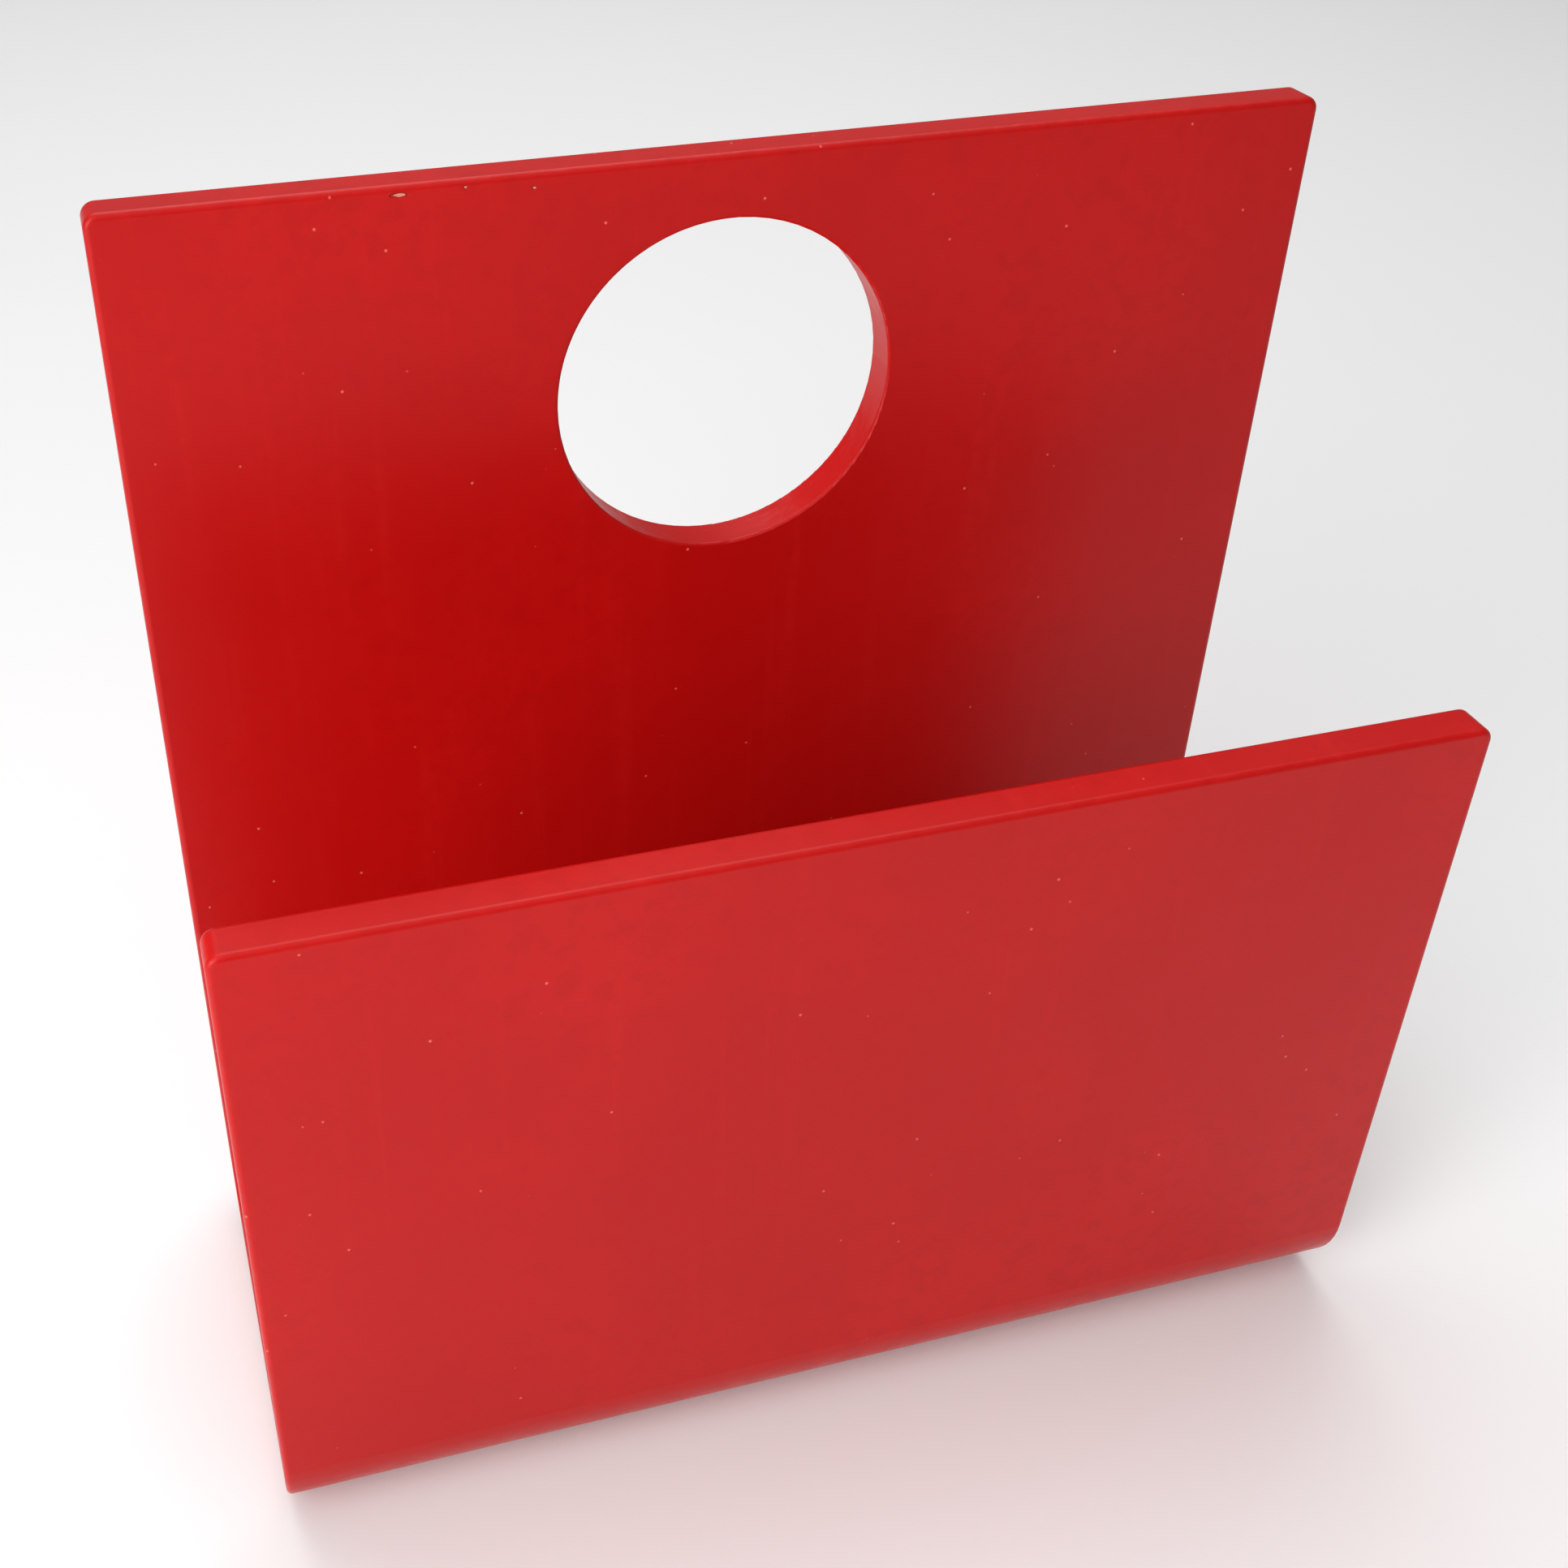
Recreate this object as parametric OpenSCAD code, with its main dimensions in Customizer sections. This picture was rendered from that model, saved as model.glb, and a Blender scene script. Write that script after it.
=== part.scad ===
// Magazine file holder: one sheet of moulded plywood bent into a U, lacquered all over.
// A tall back panel with a round hand hole and a low front panel rise from one base.
// The shell is a glued stack of veneers, which were trimmed and rounded after pressing.
// It stands on felt pads.
//
// Frame: +Z up, +Y towards the back panel, +X to the right seen from the front.
// The origin is the middle of the footprint, on the surface that the pads stand on.

/* [Shell] */
// Width of every panel, along X
shell_w = 350; // [250:1:420]
// Depth from the front panel's outer face to the back panel's outer face
shell_d = 146; // [110:1:200]
// Height of the back panel, above the underside of the base
back_h = 358; // [320:1:420]
// Height of the front panel, above the underside of the base
front_h = 225; // [120:1:280]
// Radius of the former that the inside of each bend was pressed around
former_r = 15; // [12:0.5:20]

/* [Veneers] */
// Thickness of the two face veneers
face_t = 1.05; // [0.9:0.05:1.3]
// Thickness of each core veneer
core_t = 1.5; // [1.3:0.05:1.8]

/* [Rounded edges] */
// Radius rounded onto every free edge of the sheet
edge_r = 1.8; // [1.2:0.1:2]
// Radius of the panels' top corners, seen from the front
corner_r = 4; // [4:0.5:10]

/* [Hand hole] */
// Diameter of the hand hole
hole_d = 100; // [60:1:110]
// Height of the hole's centre, above the underside of the base
hole_z = 290; // [270:1:295]
// Distance of the hole's centre from the middle of the panel, negative to the left
hole_x = -3; // [-10:0.5:10]
// Radius rounded onto the hole's rims
rim_r = 0.8; // [0.5:0.1:1]

/* [Felt pads] */
// Diameter of a felt pad
pad_d = 20; // [12:1:24]
// Thickness of a felt pad
pad_t = 2; // [1:0.5:4]
// Distance between the pads' centres along X
pad_spacing_x = 290; // [150:1:300]
// Distance between the pads' centres along Y
pad_spacing_y = 62; // [30:1:64]

/* [Hidden] */

// An odd number of core veneers between two faces keeps the lay-up balanced
core_count = 7;
shell_t = 2 * face_t + core_count * core_t;
bend_r = former_r + shell_t;
// The shell's outline in the YZ plane
base_z = pad_t;
front_y = -shell_d / 2;
back_y = shell_d / 2;
back_top = base_z + back_h;
bend_z = base_z + bend_r;
// How far a cutter or a layer runs past the surface that it meets
past = 2;
lacquer_red = [0.76, 0.10, 0.09];
felt_grey = [0.33, 0.32, 0.31];
$fn = 96;

// ---- Outlines --------------------------------------------------------------------------

// A rectangle from corner a to corner b with every corner rounded
module rounded_rectangle(a, b, r) {
    translate([a.x + r, a.y]) square([b.x - a.x - 2 * r, b.y - a.y]);
    translate([a.x, a.y + r]) square([b.x - a.x, b.y - a.y - 2 * r]);
    for (x = [a.x + r, b.x - r])
        for (y = [a.y + r, b.y - r])
            translate([x, y]) circle(r);
}

// The space inside the U, seen along X, at a distance `inset` within the outer surface.
// It is open upwards, and its two lower corners follow the bends.
module pocket_outline(inset) {
    r = bend_r - inset;
    half = shell_d / 2 - inset;
    top = back_top + past;
    translate([-half, bend_z]) square([2 * half, top - bend_z]);
    translate([-half + r, base_z + inset]) square([2 * (half - r), top - base_z - inset]);
    for (side = [-1, 1])
        translate([side * (half - r), bend_z]) circle(r);
}

// ---- Shell before it is divided into veneers ----------------------------------------------

// Lays an outline drawn in the YZ plane along X, over the shell's width and `extra` beyond it
module along_x(extra) {
    length = shell_w + 2 * extra;
    translate([-length / 2, 0, 0]) rotate([90, 0, 90]) linear_extrude(length) children();
}

// The sheet's cross-section at a free edge. It starts `depth` inside the edge, at x = 0, and both
// corners of the edge are rounded.
module edge_profile(depth) {
    square([depth - edge_r, shell_t]);
    translate([0, edge_r]) square([depth, shell_t - 2 * edge_r]);
    for (y = [edge_r, shell_t - edge_r])
        translate([depth - edge_r, y]) circle(edge_r);
}

// The upper right corner of a panel, a quarter turn of the edge's cross-section
module top_corner() {
    translate([shell_w / 2 - corner_r, shell_t, 0])
        rotate([90, 0, 0])
            rotate_extrude(angle = 90)
                edge_profile(corner_r);
}

// One upright panel. It stands on the bend, its outer face lies at y = 0 and it reaches `height`
// above the base's underside.
module upright(height) {
    side_height = height - bend_r - corner_r;
    top_width = shell_w - 2 * corner_r;
    translate([0, 0, bend_z])
        linear_extrude(side_height)
            rounded_rectangle([-shell_w / 2, 0], [shell_w / 2, shell_t], edge_r);
    translate([0, 0, bend_z + side_height]) {
        translate([-top_width / 2, shell_t, 0])
            rotate([90, 0, 90])
                linear_extrude(top_width)
                    rotate(90) edge_profile(corner_r);
        top_corner();
        mirror([1, 0, 0]) top_corner();
    }
}

// A quarter turn of the sheet from the base up to the back panel
module bend() {
    translate([0, back_y - bend_r, bend_z])
        rotate([0, 90, 0])
            rotate_extrude(angle = 90)
                rounded_rectangle([former_r, -shell_w / 2], [bend_r, shell_w / 2], edge_r);
}

// The flat part of the base, between the bends
module base() {
    depth = shell_d - 2 * bend_r;
    translate([0, depth / 2, 0])
        rotate([90, 0, 0])
            linear_extrude(depth)
                rounded_rectangle([-shell_w / 2, base_z], [shell_w / 2, base_z + shell_t], edge_r);
}

// The hand hole with both rims rounded, centred on the back panel's middle plane
module hand_hole() {
    r = hole_d / 2;
    reach = shell_t / 2;
    translate([hole_x, back_y - shell_t / 2, base_z + hole_z])
        rotate([90, 0, 0])
            rotate_extrude()
                difference() {
                    translate([0, -reach - past]) square([r + rim_r, 2 * (reach + past)]);
                    translate([r, -reach + rim_r]) square([rim_r + past, 2 * (reach - rim_r)]);
                    for (side = [-1, 1])
                        translate([r + rim_r, side * (reach - rim_r)]) circle(rim_r);
                }
}

// The whole pressed and trimmed shell
module shell() {
    difference() {
        union() {
            base();
            bend();
            mirror([0, 1, 0]) bend();
            translate([0, front_y, 0]) upright(front_h);
            translate([0, back_y, 0]) mirror([0, 1, 0]) upright(back_h);
        }
        hand_hole();
    }
}

// ---- Veneers -------------------------------------------------------------------------------

// The part of the shell between two depths, measured inwards from its outer surface
module veneer(outer_depth, inner_depth) {
    intersection() {
        shell();
        along_x(past)
            difference() {
                pocket_outline(outer_depth);
                pocket_outline(inner_depth);
            }
    }
}

module face_veneer_outer() {
    color(lacquer_red) veneer(-past, face_t);
}

// Core veneers are numbered from the outside in
module core_veneer(number) {
    outer_depth = face_t + (number - 1) * core_t;
    color(lacquer_red) veneer(outer_depth, outer_depth + core_t);
}

module face_veneer_inner() {
    color(lacquer_red) veneer(shell_t - face_t, shell_t + past);
}

// ---- Felt pads -----------------------------------------------------------------------------

// A round felt pad under the base. The two signs say which corner it stands in.
module felt_pad(side_x, side_y) {
    color(felt_grey)
        translate([side_x * pad_spacing_x / 2, side_y * pad_spacing_y / 2, 0])
            cylinder(h = pad_t, d = pad_d);
}

face_veneer_outer();
core_veneer(1);  // core_veneer_1
core_veneer(2);  // core_veneer_2
core_veneer(3);  // core_veneer_3
core_veneer(4);  // core_veneer_4
core_veneer(5);  // core_veneer_5
core_veneer(6);  // core_veneer_6
core_veneer(7);  // core_veneer_7
face_veneer_inner();
felt_pad(-1, -1);  // felt_pad_front_left
felt_pad(1, -1);  // felt_pad_front_right
felt_pad(-1, 1);  // felt_pad_back_left
felt_pad(1, 1);  // felt_pad_back_right
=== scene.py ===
"""The looks of a red lacquered magazine holder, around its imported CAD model.

The veneers of the moulded plywood shell are CAD nodes and stay as they are: each gets a lacquer
that turns to bare beech on its glued sides. The felt pads are CAD solids that detailed pads
replace. Everything is in metres, in the frame of the CAD model.
"""

import math

import bmesh
import bpy
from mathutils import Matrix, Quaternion, Vector, noise

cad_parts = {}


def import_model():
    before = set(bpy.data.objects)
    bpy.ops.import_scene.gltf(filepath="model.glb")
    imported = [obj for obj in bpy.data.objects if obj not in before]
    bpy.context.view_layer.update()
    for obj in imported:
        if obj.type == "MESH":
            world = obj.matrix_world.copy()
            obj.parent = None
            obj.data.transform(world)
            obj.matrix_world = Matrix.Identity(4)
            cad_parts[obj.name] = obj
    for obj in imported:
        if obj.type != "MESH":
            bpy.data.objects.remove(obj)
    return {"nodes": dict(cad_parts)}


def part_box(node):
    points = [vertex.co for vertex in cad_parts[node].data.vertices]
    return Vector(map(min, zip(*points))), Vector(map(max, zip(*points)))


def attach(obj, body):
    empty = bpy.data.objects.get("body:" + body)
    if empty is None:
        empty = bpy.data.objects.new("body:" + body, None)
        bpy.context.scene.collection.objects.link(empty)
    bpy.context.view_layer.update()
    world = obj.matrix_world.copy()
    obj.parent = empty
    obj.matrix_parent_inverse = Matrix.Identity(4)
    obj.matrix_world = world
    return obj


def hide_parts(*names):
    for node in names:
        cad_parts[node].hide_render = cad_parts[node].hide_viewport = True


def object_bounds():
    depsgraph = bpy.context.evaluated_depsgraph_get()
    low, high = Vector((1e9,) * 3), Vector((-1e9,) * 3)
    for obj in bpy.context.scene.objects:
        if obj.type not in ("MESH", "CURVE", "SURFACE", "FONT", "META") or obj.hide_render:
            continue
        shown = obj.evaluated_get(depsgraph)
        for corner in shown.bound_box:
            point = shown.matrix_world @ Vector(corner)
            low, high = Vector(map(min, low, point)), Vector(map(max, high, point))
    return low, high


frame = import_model()
cad_low, cad_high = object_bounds()

# ---- Sizes taken from the frame ------------------------------------------------------------

VENEERS = ["face_veneer_outer", *[f"core_veneer_{n}" for n in range(1, 8)], "face_veneer_inner"]
PADS = [n for n in frame["nodes"] if n.startswith("felt_pad")]

outer_low, outer_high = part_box("face_veneer_outer")
HALF_DEPTH = outer_high.y
BASE_Z = outer_low.z
BACK_TOP = cad_high.z
FACE_T = outer_high.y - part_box("core_veneer_1")[1].y
SHELL_T = outer_high.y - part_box("face_veneer_inner")[1].y + FACE_T
# Radius of the outer surface of both bends
BEND_R = 0.0276

# ---- Helpers for node materials ------------------------------------------------------------


class Graph:
    """Builds one material's node tree, a socket at a time."""

    def __init__(self, name):
        self.material = bpy.data.materials.new(name)
        self.material.use_nodes = True
        self.tree = self.material.node_tree
        self.tree.nodes.clear()

    def node(self, kind, inputs=None, **settings):
        made = self.tree.nodes.new(kind)
        for key, value in settings.items():
            setattr(made, key, value)
        for key, value in (inputs or {}).items():
            self.feed(made.inputs[key], value)
        return made

    def feed(self, socket, value):
        """Links a socket to another one, or sets its own value."""
        if isinstance(value, bpy.types.NodeSocket):
            self.tree.links.new(value, socket)
        else:
            socket.default_value = value

    def math(self, operation, *values):
        made = self.node("ShaderNodeMath", operation=operation)
        for socket, value in zip(made.inputs, values):
            self.feed(socket, value)
        return made.outputs[0]

    def vector_math(self, operation, *values):
        """The node that works on vectors. Its first output is a vector, and "Value" a number."""
        inputs = dict(enumerate(values))
        return self.node("ShaderNodeVectorMath", inputs, operation=operation).outputs

    def reverse(self, value):
        return self.math("SUBTRACT", 1.0, value)

    def product(self, *values):
        """The product of several masks."""
        result = values[0]
        for value in values[1:]:
            result = self.math("MULTIPLY", result, value)
        return result

    def step(self, value, low, high):
        """0 below low and 1 above high, with a smooth rise between them."""
        made = self.node("ShaderNodeMapRange", interpolation_type="SMOOTHSTEP")
        for key, v in {"Value": value, "From Min": low, "From Max": high}.items():
            self.feed(made.inputs[key], v)
        return made.outputs["Result"]

    def mix(self, factor, a, b):
        made = self.node("ShaderNodeMix", data_type="RGBA")
        colours = [s for s in made.inputs if s.type == "RGBA"]
        self.feed(made.inputs["Factor"], factor)
        self.feed(colours[0], a)
        self.feed(colours[1], b)
        return next(s for s in made.outputs if s.type == "RGBA")

    def between(self, factor, a, b):
        """A number that goes from a to b as factor goes from 0 to 1."""
        made = self.node("ShaderNodeMapRange")
        for key, v in {"Value": factor, "To Min": a, "To Max": b}.items():
            self.feed(made.inputs[key], v)
        return made.outputs["Result"]

    def position(self):
        return self.node("ShaderNodeTexCoord").outputs["Object"]

    def stretched(self, vector, scale):
        made = self.node("ShaderNodeMapping", {"Vector": vector, "Scale": scale})
        return made.outputs["Vector"]

    def noise(self, vector, scale, detail=2.0, rough=0.5):
        settings = {"Vector": vector, "Scale": scale, "Detail": detail, "Roughness": rough}
        return self.node("ShaderNodeTexNoise", settings).outputs["Fac"]

    def bump(self, height, distance, normal=None, strength=1.0):
        settings = {"Height": height, "Distance": distance, "Strength": strength}
        if normal is not None:
            settings["Normal"] = normal
        return self.node("ShaderNodeBump", settings).outputs["Normal"]

    def finish(self, **inputs):
        names = {"color": "Base Color", "rough": "Roughness", "normal": "Normal", "ior": "IOR"}
        settings = {names[key]: value for key, value in inputs.items()}
        shader = self.node("ShaderNodeBsdfPrincipled", settings)
        output = self.node("ShaderNodeOutputMaterial")
        self.tree.links.new(shader.outputs["BSDF"], output.inputs["Surface"])
        return shader


# ---- Lacquered veneer ------------------------------------------------------------------------

LACQUER = (0.535, 0.0042, 0.0034, 1)
LACQUER_DEEP = (0.480, 0.0034, 0.0028, 1)
LACQUER_THIN = (0.575, 0.0085, 0.0065, 1)
NIB = (0.800, 0.150, 0.120, 1)
PRIMER = (0.800, 0.230, 0.170, 1)
# Painted shadow: the dark band of shade along each chip's broken rim
PAINTED_CHIP_SHADOW = (0.240, 0.0060, 0.0050, 1)
BEECH = (0.560, 0.360, 0.205, 1)
BEECH_DARK = (0.420, 0.245, 0.125, 1)
# A lacquer with satin paste reflects less than a clear gloss
LACQUER_IOR = 1.31
# Chips along the back panel's top front edge: distance from the panel's middle, depth below its
# top, half the length and half the height
CHIPS = [
    (-0.0945, 0.0025, 0.0024, 0.0007),
    (-0.0770, 0.0021, 0.0006, 0.0004),
    (-0.0585, 0.0040, 0.0007, 0.0005),
]
CHIP_DEPTH = 0.0003
# Scales of the lacquer's noises, in cells per metre. The brush ran along Y and Z.
DRIFT_SCALE = 9.0
CLOUD_SCALE = 170.0
BRUSH_SCALE = (230, 7, 7)
PEEL_SCALE = 420.0
UNEVEN_SCALE = 120.0
SHEEN_SCALE = 26.0
NIB_SCALE = 105.0
# Heights of the lacquer's relief, in metres
PEEL_HEIGHT = 0.00002
UNEVEN_HEIGHT = 0.00045
BRUSH_HEIGHT = 0.000035
NIB_HEIGHT = 0.0001
# How much of a noise's colour shows
STREAK_SHARE = 0.28
CLOUD_SHARE = 0.7
# Share of the hand-sanded unevenness that is left on the flat faces
FLAT_SHARE = 0.12


def glued_side(graph, position, normal):
    """1 on the faces that are glued to a neighbouring veneer, 0 on every face that shows."""
    axes = graph.node("ShaderNodeSeparateXYZ", {"Vector": position}).outputs
    facing = graph.node("ShaderNodeSeparateXYZ", {"Vector": normal}).outputs
    side = graph.math("SIGN", axes["Y"])
    out_y = graph.math("SUBTRACT", graph.math("ABSOLUTE", axes["Y"]), HALF_DEPTH - BEND_R)
    out_y = graph.math("MAXIMUM", out_y, 0.0)
    out_z = graph.math("MAXIMUM", graph.math("SUBTRACT", BASE_Z + BEND_R, axes["Z"]), 0.0)
    square_y = graph.math("MULTIPLY", out_y, out_y)
    radius = graph.math("SQRT", graph.math("MULTIPLY_ADD", out_z, out_z, square_y))
    depth = graph.math("SUBTRACT", BEND_R, radius)
    along_y = graph.product(facing["Y"], side, out_y)
    along_z = graph.math("MULTIPLY", facing["Z"], out_z)
    straight = graph.math("SUBTRACT", along_y, along_z)
    straight = graph.math("ABSOLUTE", graph.math("DIVIDE", straight, radius))
    margin = 0.0003
    nearly_straight = 0.985
    inside = graph.math("GREATER_THAN", depth, margin)
    outside = graph.math("LESS_THAN", depth, SHELL_T - margin)
    straight = graph.math("GREATER_THAN", straight, nearly_straight)
    return graph.product(inside, outside, straight)


def dust_nibs(graph, position):
    """1 on specks of dust about a millimetre across, which are caught in the film."""
    cells = graph.node("ShaderNodeTexVoronoi", {"Vector": position, "Scale": NIB_SCALE}).outputs
    # A noise picks the cells that hold a speck. Distance is counted in cells.
    chosen = graph.math("GREATER_THAN", graph.noise(cells["Position"], 37.0, 0.0), 0.47)
    near = graph.reverse(graph.step(cells["Distance"], 0.02, 0.062))
    return graph.product(chosen, near)


def chip(graph, position, place):
    """How far into a chip a point lies: 0 outside its ragged rim and 1 in its middle."""
    across, drop, half_length, half_height = place
    centre = (across, HALF_DEPTH - SHELL_T, BACK_TOP - drop)
    offset = graph.vector_math("SUBTRACT", position, centre)[0]
    # The ellipsoid is deep along Y, because the chip lies on a face that Y is normal to
    unit = graph.stretched(offset, (1 / half_length, 1 / (2 * half_height), 1 / half_height))
    reach = graph.vector_math("LENGTH", unit)["Value"]
    ragged = graph.math("MULTIPLY_ADD", graph.noise(position, 900.0, 2.0), 0.7, reach)
    return graph.reverse(graph.step(ragged, 0.75, 1.45))


def rounded_edge(graph, normal):
    """0 on flat faces and 1 on rounded edges, where the normal leans away from all three axes."""
    facing = graph.vector_math("ABSOLUTE", normal)[0]
    parts = graph.node("ShaderNodeSeparateXYZ", {"Vector": facing}).outputs
    largest = graph.math("MAXIMUM", graph.math("MAXIMUM", parts["X"], parts["Y"]), parts["Z"])
    return graph.reverse(graph.step(largest, 0.93, 0.998))


def lacquered_veneer(name, grain):
    """Satin red lacquer over a veneer. grain is the scale of the wood's figure on each axis."""
    graph = Graph(name)
    position = graph.position()
    normal = graph.node("ShaderNodeNewGeometry").outputs["True Normal"]
    glued = glued_side(graph, position, normal)

    # Slow drifts and small clouds in the film, and the brush's marks along the panels
    drift = graph.noise(position, DRIFT_SCALE, 2.0, 0.5)
    cloud = graph.noise(position, CLOUD_SCALE, 3.0, 0.65)
    brushed = graph.noise(graph.stretched(position, BRUSH_SCALE), 1.0, 3.0, 0.6)
    peel = graph.noise(position, PEEL_SCALE, 1.5, 0.5)
    colour = graph.mix(graph.step(drift, 0.35, 0.68), LACQUER_DEEP, LACQUER)
    streaks = graph.product(graph.step(brushed, 0.52, 0.75), STREAK_SHARE)
    colour = graph.mix(streaks, colour, LACQUER_THIN)
    clouds = graph.product(graph.step(cloud, 0.46, 0.64), CLOUD_SHARE)
    colour = graph.mix(clouds, colour, LACQUER_DEEP)

    nib = dust_nibs(graph, position)
    colour = graph.mix(nib, colour, NIB)

    # Each chip has painted shadow, a dark band along its broken rim, and shows the pale primer in
    # its middle
    chipped = 0.0
    for place in CHIPS:
        chipped = graph.math("MAXIMUM", chipped, chip(graph, position, place))
    colour = graph.mix(graph.step(chipped, 0.02, 0.30), colour, PAINTED_CHIP_SHADOW)
    colour = graph.mix(graph.step(chipped, 0.45, 0.80), colour, PRIMER)

    # Bare beech where the veneer is glued
    figure = graph.noise(graph.stretched(position, grain), 1.0, 4.0, 0.6)
    beech = graph.mix(graph.step(figure, 0.35, 0.7), BEECH_DARK, BEECH)
    colour = graph.mix(glued, colour, beech)

    rough = graph.between(graph.noise(position, SHEEN_SCALE, 3.0, 0.6), 0.30, 0.42)
    rough = graph.math("MULTIPLY_ADD", graph.math("SUBTRACT", brushed, 0.5), 0.10, rough)
    rough = graph.math("MULTIPLY_ADD", graph.math("MAXIMUM", glued, chipped), 0.3, rough)

    # Sanding by hand leaves the rounded edges a little uneven, and the faces far less so
    uneven = graph.noise(position, UNEVEN_SCALE, 2.0, 0.55)
    by_hand = graph.between(rounded_edge(graph, normal), FLAT_SHARE, 1.0)

    bumps = graph.bump(peel, PEEL_HEIGHT)
    bumps = graph.bump(uneven, UNEVEN_HEIGHT, bumps, by_hand)
    bumps = graph.bump(brushed, BRUSH_HEIGHT, bumps)
    bumps = graph.bump(nib, NIB_HEIGHT, bumps)
    bumps = graph.bump(graph.reverse(chipped), CHIP_DEPTH, bumps)
    graph.finish(color=colour, rough=rough, normal=bumps, ior=LACQUER_IOR)
    return graph.material


# The grain runs round the U in the faces and in every second core veneer, and along X in the rest
LONG_GRAIN = (260, 6, 6)
CROSS_GRAIN = (6, 260, 260)
long_veneer = lacquered_veneer("lacquer_on_long_grain", LONG_GRAIN)
cross_veneer = lacquered_veneer("lacquer_on_cross_grain", CROSS_GRAIN)
for number, node_name in enumerate(VENEERS):
    slot = frame["nodes"][node_name].material_slots[0]
    slot.material = cross_veneer if number % 2 else long_veneer

# ---- Felt pads -------------------------------------------------------------------------------

FELT_DARK = (0.050, 0.046, 0.043, 1)
FELT_PALE = (0.155, 0.146, 0.138, 1)
FELT_CLUMP = (0.090, 0.084, 0.079, 1)
ADHESIVE_DARK = (0.52, 0.49, 0.42, 1)
ADHESIVE_PALE = (0.66, 0.63, 0.55, 1)
FILM_T = 0.00015
# Radius of a pad's soft rims
SOFT_RIM = 0.0005
# How far wear and the fibres move a pad's surface sideways and vertically
FELT_WOBBLE = 0.00018
FELT_PULL = 0.00006
PAD_TURNS = 96


def felt():
    """Grey wool felt with loose fibres."""
    graph = Graph("wool_felt")
    position = graph.position()
    fibre = graph.noise(graph.stretched(position, (1, 1, 1.6)), 2600.0, 4.0, 0.7)
    clump = graph.noise(position, 520.0, 2.0, 0.5)
    colour = graph.mix(fibre, FELT_DARK, FELT_PALE)
    colour = graph.mix(graph.step(clump, 0.4, 0.7), colour, FELT_CLUMP)
    bumps = graph.bump(clump, 0.00012)
    bumps = graph.bump(fibre, 0.00009, bumps)
    shader = graph.finish(color=colour, rough=0.95, normal=bumps)
    shader.inputs["Sheen Weight"].default_value = 0.35
    shader.inputs["Sheen Roughness"].default_value = 0.5
    return graph.material


def adhesive():
    """The pale film that sticks a pad to the base."""
    graph = Graph("adhesive_film")
    position = graph.position()
    cloud = graph.noise(position, 300.0, 3.0, 0.6)
    colour = graph.mix(cloud, ADHESIVE_DARK, ADHESIVE_PALE)
    rough = graph.between(cloud, 0.35, 0.6)
    graph.finish(color=colour, rough=rough, normal=graph.bump(cloud, 0.00003))
    return graph.material


def ring(mesh, radius, z, centre, wobble, pull):
    """One ring of vertices. wobble moves each inwards and pull moves each vertically, by noise."""
    made = []
    for k in range(PAD_TURNS):
        angle = math.tau * k / PAD_TURNS
        spot = Vector((math.cos(angle), math.sin(angle), 0)) * radius
        at = centre + spot + Vector((0, 0, z))
        rub = 0.5 + 0.5 * noise.noise(at * 1400)
        lift = 0.5 + 0.5 * noise.noise(at * 1100 + Vector((7, 3, 1)))
        at -= spot.normalized() * wobble * rub
        at += Vector((0, 0, pull * lift))
        made.append(mesh.verts.new(at))
    return made


def skin(mesh, rings, material_index):
    """Quads between neighbouring rings."""
    for lower, upper in zip(rings, rings[1:]):
        for k in range(len(lower)):
            following = (k + 1) % len(lower)
            corners = (lower[k], lower[following], upper[following], upper[k])
            mesh.faces.new(corners).material_index = material_index


def disc(mesh, centre, profile, material_index, wobble, pull):
    """A closed round body from (radius, z) pairs, first the underside's middle, last the top's."""
    # The fibres are only ever pulled inwards: up near the underside and down near the top
    middle = (profile[0][1] + profile[-1][1]) / 2
    rings = []
    for radius, z in profile:
        inwards = pull if z < middle else -pull
        rings.append(ring(mesh, radius, z, centre, wobble, inwards))
    skin(mesh, rings, material_index)
    for end, flip in ((rings[0], True), (rings[-1], False)):
        face = mesh.faces.new(reversed(end) if flip else end)
        face.material_index = material_index


def felt_profile(radius, bottom, top):
    """(radius, z) pairs along a pad's section, from the underside's middle to the top's."""
    core = radius - SOFT_RIM
    turns = [math.radians(a) for a in range(0, 91, 15)]
    spokes = [radius * f for f in (0.04, 0.15, 0.3, 0.45, 0.6, 0.75, 0.88)]
    wall = top - bottom - 2 * SOFT_RIM
    profile = [(r, bottom) for r in spokes]
    for a in turns:
        profile.append((core + SOFT_RIM * math.sin(a), bottom + SOFT_RIM - SOFT_RIM * math.cos(a)))
    for f in (0.33, 0.67):
        profile.append((radius, bottom + SOFT_RIM + wall * f))
    for a in turns:
        profile.append((core + SOFT_RIM * math.cos(a), top - SOFT_RIM + SOFT_RIM * math.sin(a)))
    profile += [(r, top) for r in reversed(spokes)]
    return profile


def felt_pad(node_name, materials):
    """A pressed felt disc with soft rims, stuck on by a thin film."""
    low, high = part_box(node_name)
    centre = Vector(((low.x + high.x) / 2, (low.y + high.y) / 2, 0))
    radius = (high.x - low.x) / 2
    felt_top = high.z - FILM_T
    mesh = bmesh.new()
    disc(mesh, centre, felt_profile(radius, low.z, felt_top), 0, FELT_WOBBLE, FELT_PULL)
    film_r = radius - 2 * SOFT_RIM
    disc(mesh, centre, [(film_r, felt_top), (film_r, high.z)], 1, 0.0, 0.0)
    data = bpy.data.meshes.new(node_name + "_felt")
    mesh.to_mesh(data)
    mesh.free()
    for polygon in data.polygons:
        polygon.use_smooth = True
    pad = bpy.data.objects.new(node_name + "_felt", data)
    bpy.context.scene.collection.objects.link(pad)
    for material in materials:
        data.materials.append(material)
    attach(pad, "root")
    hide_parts(node_name)


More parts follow.
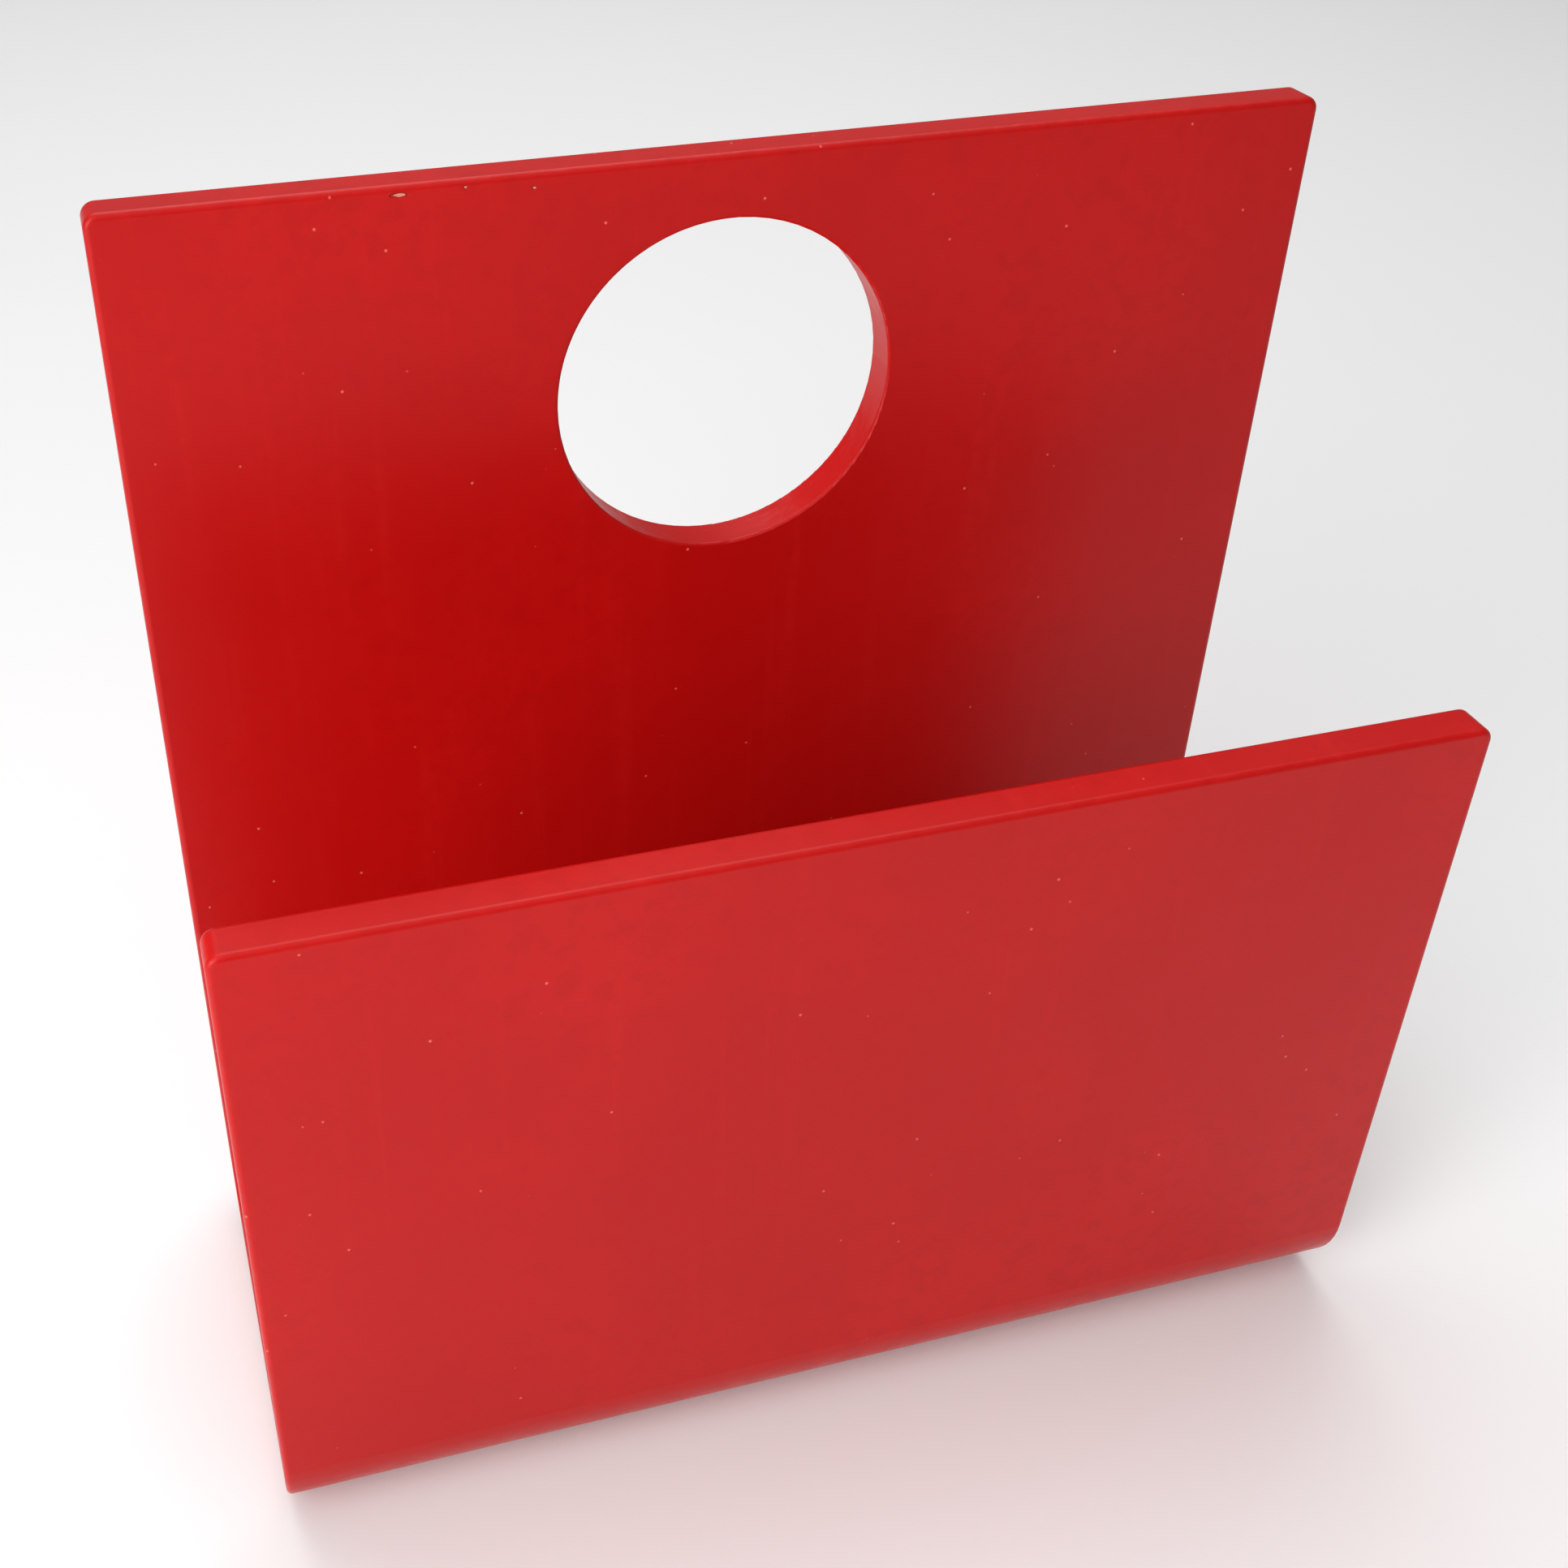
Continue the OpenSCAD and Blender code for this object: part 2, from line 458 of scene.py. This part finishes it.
pad_materials = (felt(), adhesive())
for node_name in PADS:
    felt_pad(node_name, pad_materials)

# ---- Floor, light and camera -------------------------------------------------------------------

FLOOR_DARK = (0.89, 0.89, 0.89, 1)
FLOOR_PALE = (0.91, 0.91, 0.91, 1)
FLOOR_HALF = 6.0


def floor():
    """A plain pale floor that reaches far past the frame."""
    half = FLOOR_HALF
    data = bpy.data.meshes.new("floor")
    corners = [(-half, -half, 0), (half, -half, 0), (half, half, 0), (-half, half, 0)]
    data.from_pydata(corners, [], [(0, 1, 2, 3)])
    made = bpy.data.objects.new("floor", data)
    bpy.context.scene.collection.objects.link(made)
    graph = Graph("pale_floor")
    cloud = graph.noise(graph.position(), 3.0, 3.0, 0.5)
    colour = graph.mix(cloud, FLOOR_DARK, FLOOR_PALE)
    graph.finish(color=colour, rough=0.75)
    data.materials.append(graph.material)


def area_light(name, at, aim, size, power):
    """A round white lamp. size is its diameter in metres and power is in watts."""
    data = bpy.data.lights.new(name, "AREA")
    data.shape = "DISK"
    data.size = size
    data.energy = power
    made = bpy.data.objects.new(name, data)
    made.location = at
    made.rotation_mode = "QUATERNION"
    made.rotation_quaternion = (Vector(aim) - Vector(at)).to_track_quat("-Z", "Y")
    bpy.context.scene.collection.objects.link(made)


def world(strength):
    """Even white light from everywhere."""
    made = bpy.data.worlds.new("studio")
    made.use_nodes = True
    background = made.node_tree.nodes["Background"]
    background.inputs["Color"].default_value = (1.0, 1.0, 1.0, 1)
    background.inputs["Strength"].default_value = strength
    bpy.context.scene.world = made


def camera():
    """The photograph's viewpoint, fitted to the panels' edges and to the hole."""
    heading = math.radians(15.11)
    dip = math.radians(34.75)
    roll = math.radians(-0.54)
    level = math.cos(dip)
    ahead = Vector((math.sin(heading) * level, math.cos(heading) * level, -math.sin(dip)))
    data = bpy.data.cameras.new("camera")
    data.sensor_width = 36.0
    data.lens = 44.66
    data.shift_x = 0.1243
    data.shift_y = -0.0187
    data.clip_start = 0.01
    data.clip_end = 50.0
    made = bpy.data.objects.new("camera", data)
    made.location = (-0.1777, -0.4311, 0.5250)
    made.rotation_mode = "QUATERNION"
    made.rotation_quaternion = ahead.to_track_quat("-Z", "Y") @ Quaternion((0, 0, 1), roll)
    bpy.context.scene.collection.objects.link(made)
    bpy.context.scene.camera = made


floor()
world(0.22)
area_light("window", (-0.92, -0.75, 0.5), (0.0, 0.0, 0.2), 0.65, 4.7)
area_light("side", (-1.5, -0.7, 0.6), (0.0, 0.0, 0.15), 0.8, 7.0)
area_light("key", (-0.82, -0.62, 1.05), (0.0, 0.0, 0.15), 0.8, 4.9)
area_light("fill", (0.15, -1.3, 1.75), (0.0, 0.0, 0.2), 1.8, 3.8)
area_light("overhead", (0.0, 0.6, 2.6), (0.0, 0.6, 0.0), 4.0, 24)
area_light("behind", (0.0, 1.4, 3.0), (0.0, 0.4, 0.0), 3.0, 48)
camera()
bpy.context.scene.view_settings.view_transform = "Standard"
